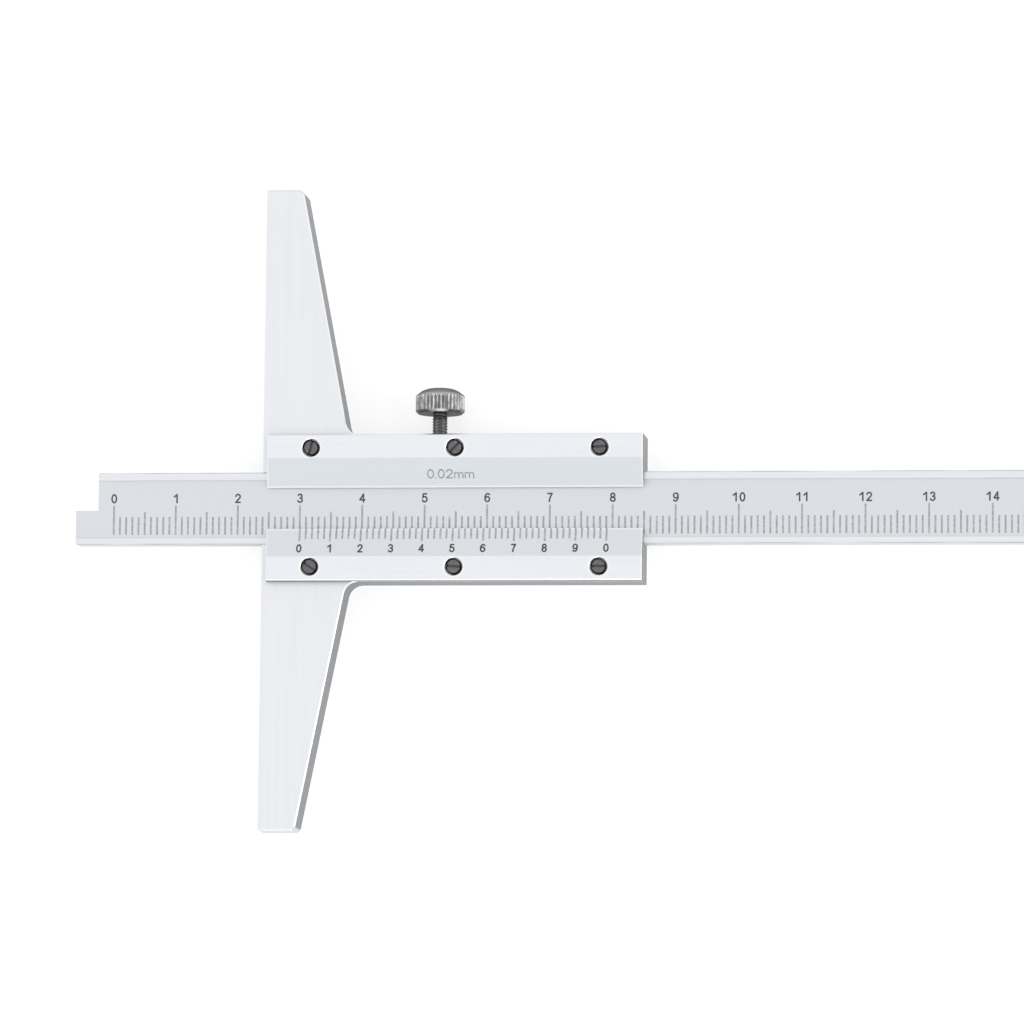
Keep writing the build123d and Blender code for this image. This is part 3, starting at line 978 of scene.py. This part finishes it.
class GAUGE_OT_resolution(Operator):
    """Etch the plain resolution mark in the upper plate's bevel"""

    bl_idname = "depth_gauge.resolution"
    bl_label = "Resolution mark"

    def execute(self, context):
        sizes = context.scene.gauge_graduations
        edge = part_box("upper_plate")[0].y
        plane = surface_plane("upper_plate", PROBE_X, edge + PROBE_NEAR, edge + PROBE_FAR)
        mark = write_words(
            "resolution_mark",
            [sizes.resolution_text],
            [sizes.resolution_middle_x],
            sizes.resolution_foot,
            sizes.resolution_height,
            sizes.resolution_radius,
            sizes.resolution_gap,
            plane,
            sizes,
            paint("etched_mark", context.scene.gauge_colours.resolution),
            sizes.resolution_stretch,
        )
        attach(mark, "head")
        return {"FINISHED"}


def floor_finish(settings):
    """A matt floor that keeps the object's shadow. The camera and the metal see it glow, up to white."""
    finish = Finish("floor_white")
    seen = finish.ray("Camera") + finish.ray("Glossy") + finish.ray("Transmission")
    return finish.surface(
        Base_Color=settings.floor_colour,
        Roughness=1.0,
        Emission_Color=(1.0, 1.0, 1.0),
        Emission_Strength=seen * settings.floor_glow,
        Specular_IOR_Level=0.0,
    )


def build_world(settings):
    """A white tent: dimmer overhead, and bright round the horizon, most of all on its bright side."""
    finish = Finish("studio", "worlds", "Background")
    x, y, up = finish.coordinates("Generated")
    swing = x * math.cos(settings.bright_side) + y * math.sin(settings.bright_side)
    horizon = settings.horizon + swing * settings.horizon_swing
    level = horizon + finish.step(up, *TENT_RISE) * (settings.zenith - horizon)
    seen = finish.ray("Camera")
    bpy.context.scene.world = finish.surface(Color=(1.0, 1.0, 1.0), Strength=seen + (1 - seen) * level)


def add_lamp(name, direction, radiance, settings):
    """A square soft lamp that faces the gauge from a direction. Power = radiance * pi * area."""
    lamp = bpy.data.lights.new(name, "AREA")
    lamp.shape = "SQUARE"
    lamp.size = settings.lamp_size
    lamp.energy = radiance * math.pi * settings.lamp_size**2
    holder = bpy.data.objects.new(name, lamp)
    bpy.context.scene.collection.objects.link(holder)
    away = Vector(direction).normalized()
    facing = away.to_track_quat("Z", "Y").to_matrix().to_4x4()
    holder.matrix_world = Matrix.Translation(away * settings.lamp_distance) @ facing


class GAUGE_OT_studio(Operator):
    """Set the floor, the light and the camera"""

    bl_idname = "depth_gauge.studio"
    bl_label = "Studio"

    def execute(self, context):
        settings = context.scene.gauge_studio
        half = settings.floor_size / 2
        low = -FLOOR_DROP
        corners = np.array([[-half, -half, low], [half, -half, low], [half, half, low], [-half, half, low]])
        floor = add_mesh("floor", corners, np.array([[0, 1, 2, 3]]), floor_finish(settings))
        build_world(settings)
        for name, direction, brightness in LAMPS:
            add_lamp(name, direction, getattr(settings, brightness), settings)
        camera = bpy.data.cameras.new("camera")
        camera.lens = settings.lens
        camera.sensor_width = SENSOR_WIDTH
        camera.clip_start, camera.clip_end = CLIP
        holder = bpy.data.objects.new("camera", camera)
        context.scene.collection.objects.link(holder)
        holder.matrix_world = (
            Matrix.Translation(settings.camera_place)
            @ Matrix.Rotation(settings.camera_lean_y, 4, "Y")
            @ Matrix.Rotation(settings.camera_lean_x, 4, "X")
            @ Matrix.Rotation(settings.camera_roll, 4, "Z")
        )
        context.scene.camera = holder
        context.scene.view_settings.view_transform = "Standard"
        return {"FINISHED"}


class GAUGE_PT_panel(Panel):
    """Lists the steps that dress the gauge"""

    bl_label = "Depth Gauge"
    bl_idname = "GAUGE_PT_panel"
    bl_space_type = "VIEW_3D"
    bl_region_type = "UI"
    bl_category = "Depth Gauge"

    def draw(self, context):
        for step in STEPS:
            self.layout.operator(step.bl_idname)
        for name in GROUPS:
            group = getattr(context.scene, name)
            box = self.layout.box()
            for key in group.__annotations__:
                box.prop(group, key)


STEPS = (
    GAUGE_OT_base,
    GAUGE_OT_plates,
    GAUGE_OT_screws,
    GAUGE_OT_beam,
    GAUGE_OT_inside,
    GAUGE_OT_lock_screw,
    GAUGE_OT_main_scale,
    GAUGE_OT_vernier_scale,
    GAUGE_OT_resolution,
    GAUGE_OT_studio,
)
GROUPS = {
    "gauge_graduations": GraduationSizes,
    "gauge_lock_screw": LockScrewSizes,
    "gauge_colours": FinishColours,
    "gauge_studio": StudioSettings,
}


def register():
    """Registers the property groups, the operators and the panel."""
    for name, group in GROUPS.items():
        bpy.utils.register_class(group)
        setattr(bpy.types.Scene, name, PointerProperty(type=group))
    for step in STEPS:
        bpy.utils.register_class(step)
    bpy.utils.register_class(GAUGE_PT_panel)


def unregister():
    """Takes them out again."""
    bpy.utils.unregister_class(GAUGE_PT_panel)
    for step in reversed(STEPS):
        bpy.utils.unregister_class(step)
    for name, group in GROUPS.items():
        delattr(bpy.types.Scene, name)
        bpy.utils.unregister_class(group)


def main():
    """Dresses the gauge step by step."""
    register()
    for step in STEPS:
        group, name = step.bl_idname.split(".")
        getattr(getattr(bpy.ops, group), name)()


if __name__ == "__main__":
    main()
